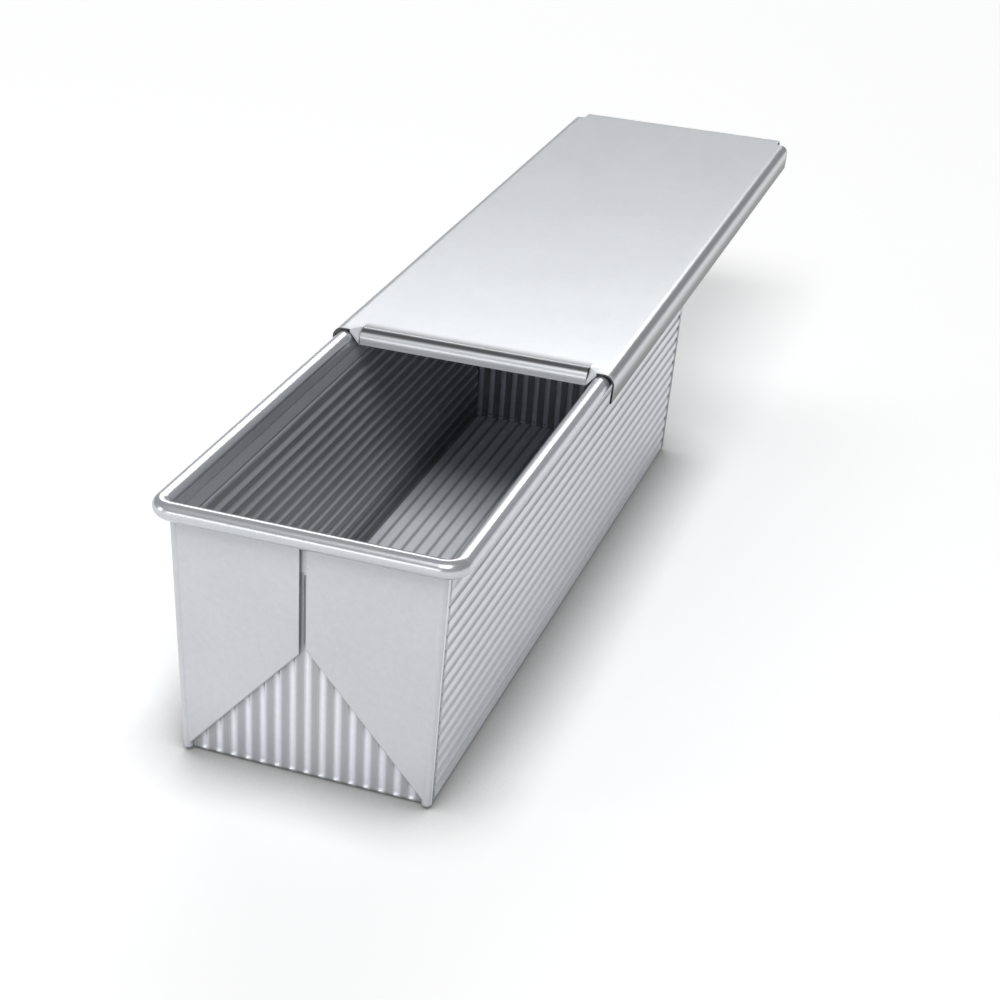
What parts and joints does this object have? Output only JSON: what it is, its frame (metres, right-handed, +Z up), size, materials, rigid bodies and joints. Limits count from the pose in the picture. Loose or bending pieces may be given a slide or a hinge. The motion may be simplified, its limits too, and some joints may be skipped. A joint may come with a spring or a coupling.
{
  "type": "pullman loaf pan",
  "caption": "Long straight-sided loaf pan folded from fluted sheet round a wire rim, with a flat cover that slides along the rim and encloses the dough for a square loaf.",
  "frame": {"origin": "middle of the base's underside, where the pan stands", "axes": "+Z up, +Y along the pan towards the end that the lid is slid to, +X across it to the right"},
  "size_m": [0.1224, 0.5379, 0.1049],
  "materials": {
    "pan_sheet": "satin aluminised steel sheet",
    "rim_rod": "plain drawn steel rod",
    "lid_sheet": "satin aluminised steel sheet"
  },
  "bodies": {
    "pan": {"pan_body": "pan_sheet", "rim_wire": "rim_rod"},
    "lid": {"lid": "lid_sheet"}
  },
  "joints": [
    {"name": "lid_slide", "type": "slide", "parent": "pan", "child": "lid", "axis": [0, 1, 0], "range_m": [-0.1665, 0.1605]}
  ]
}
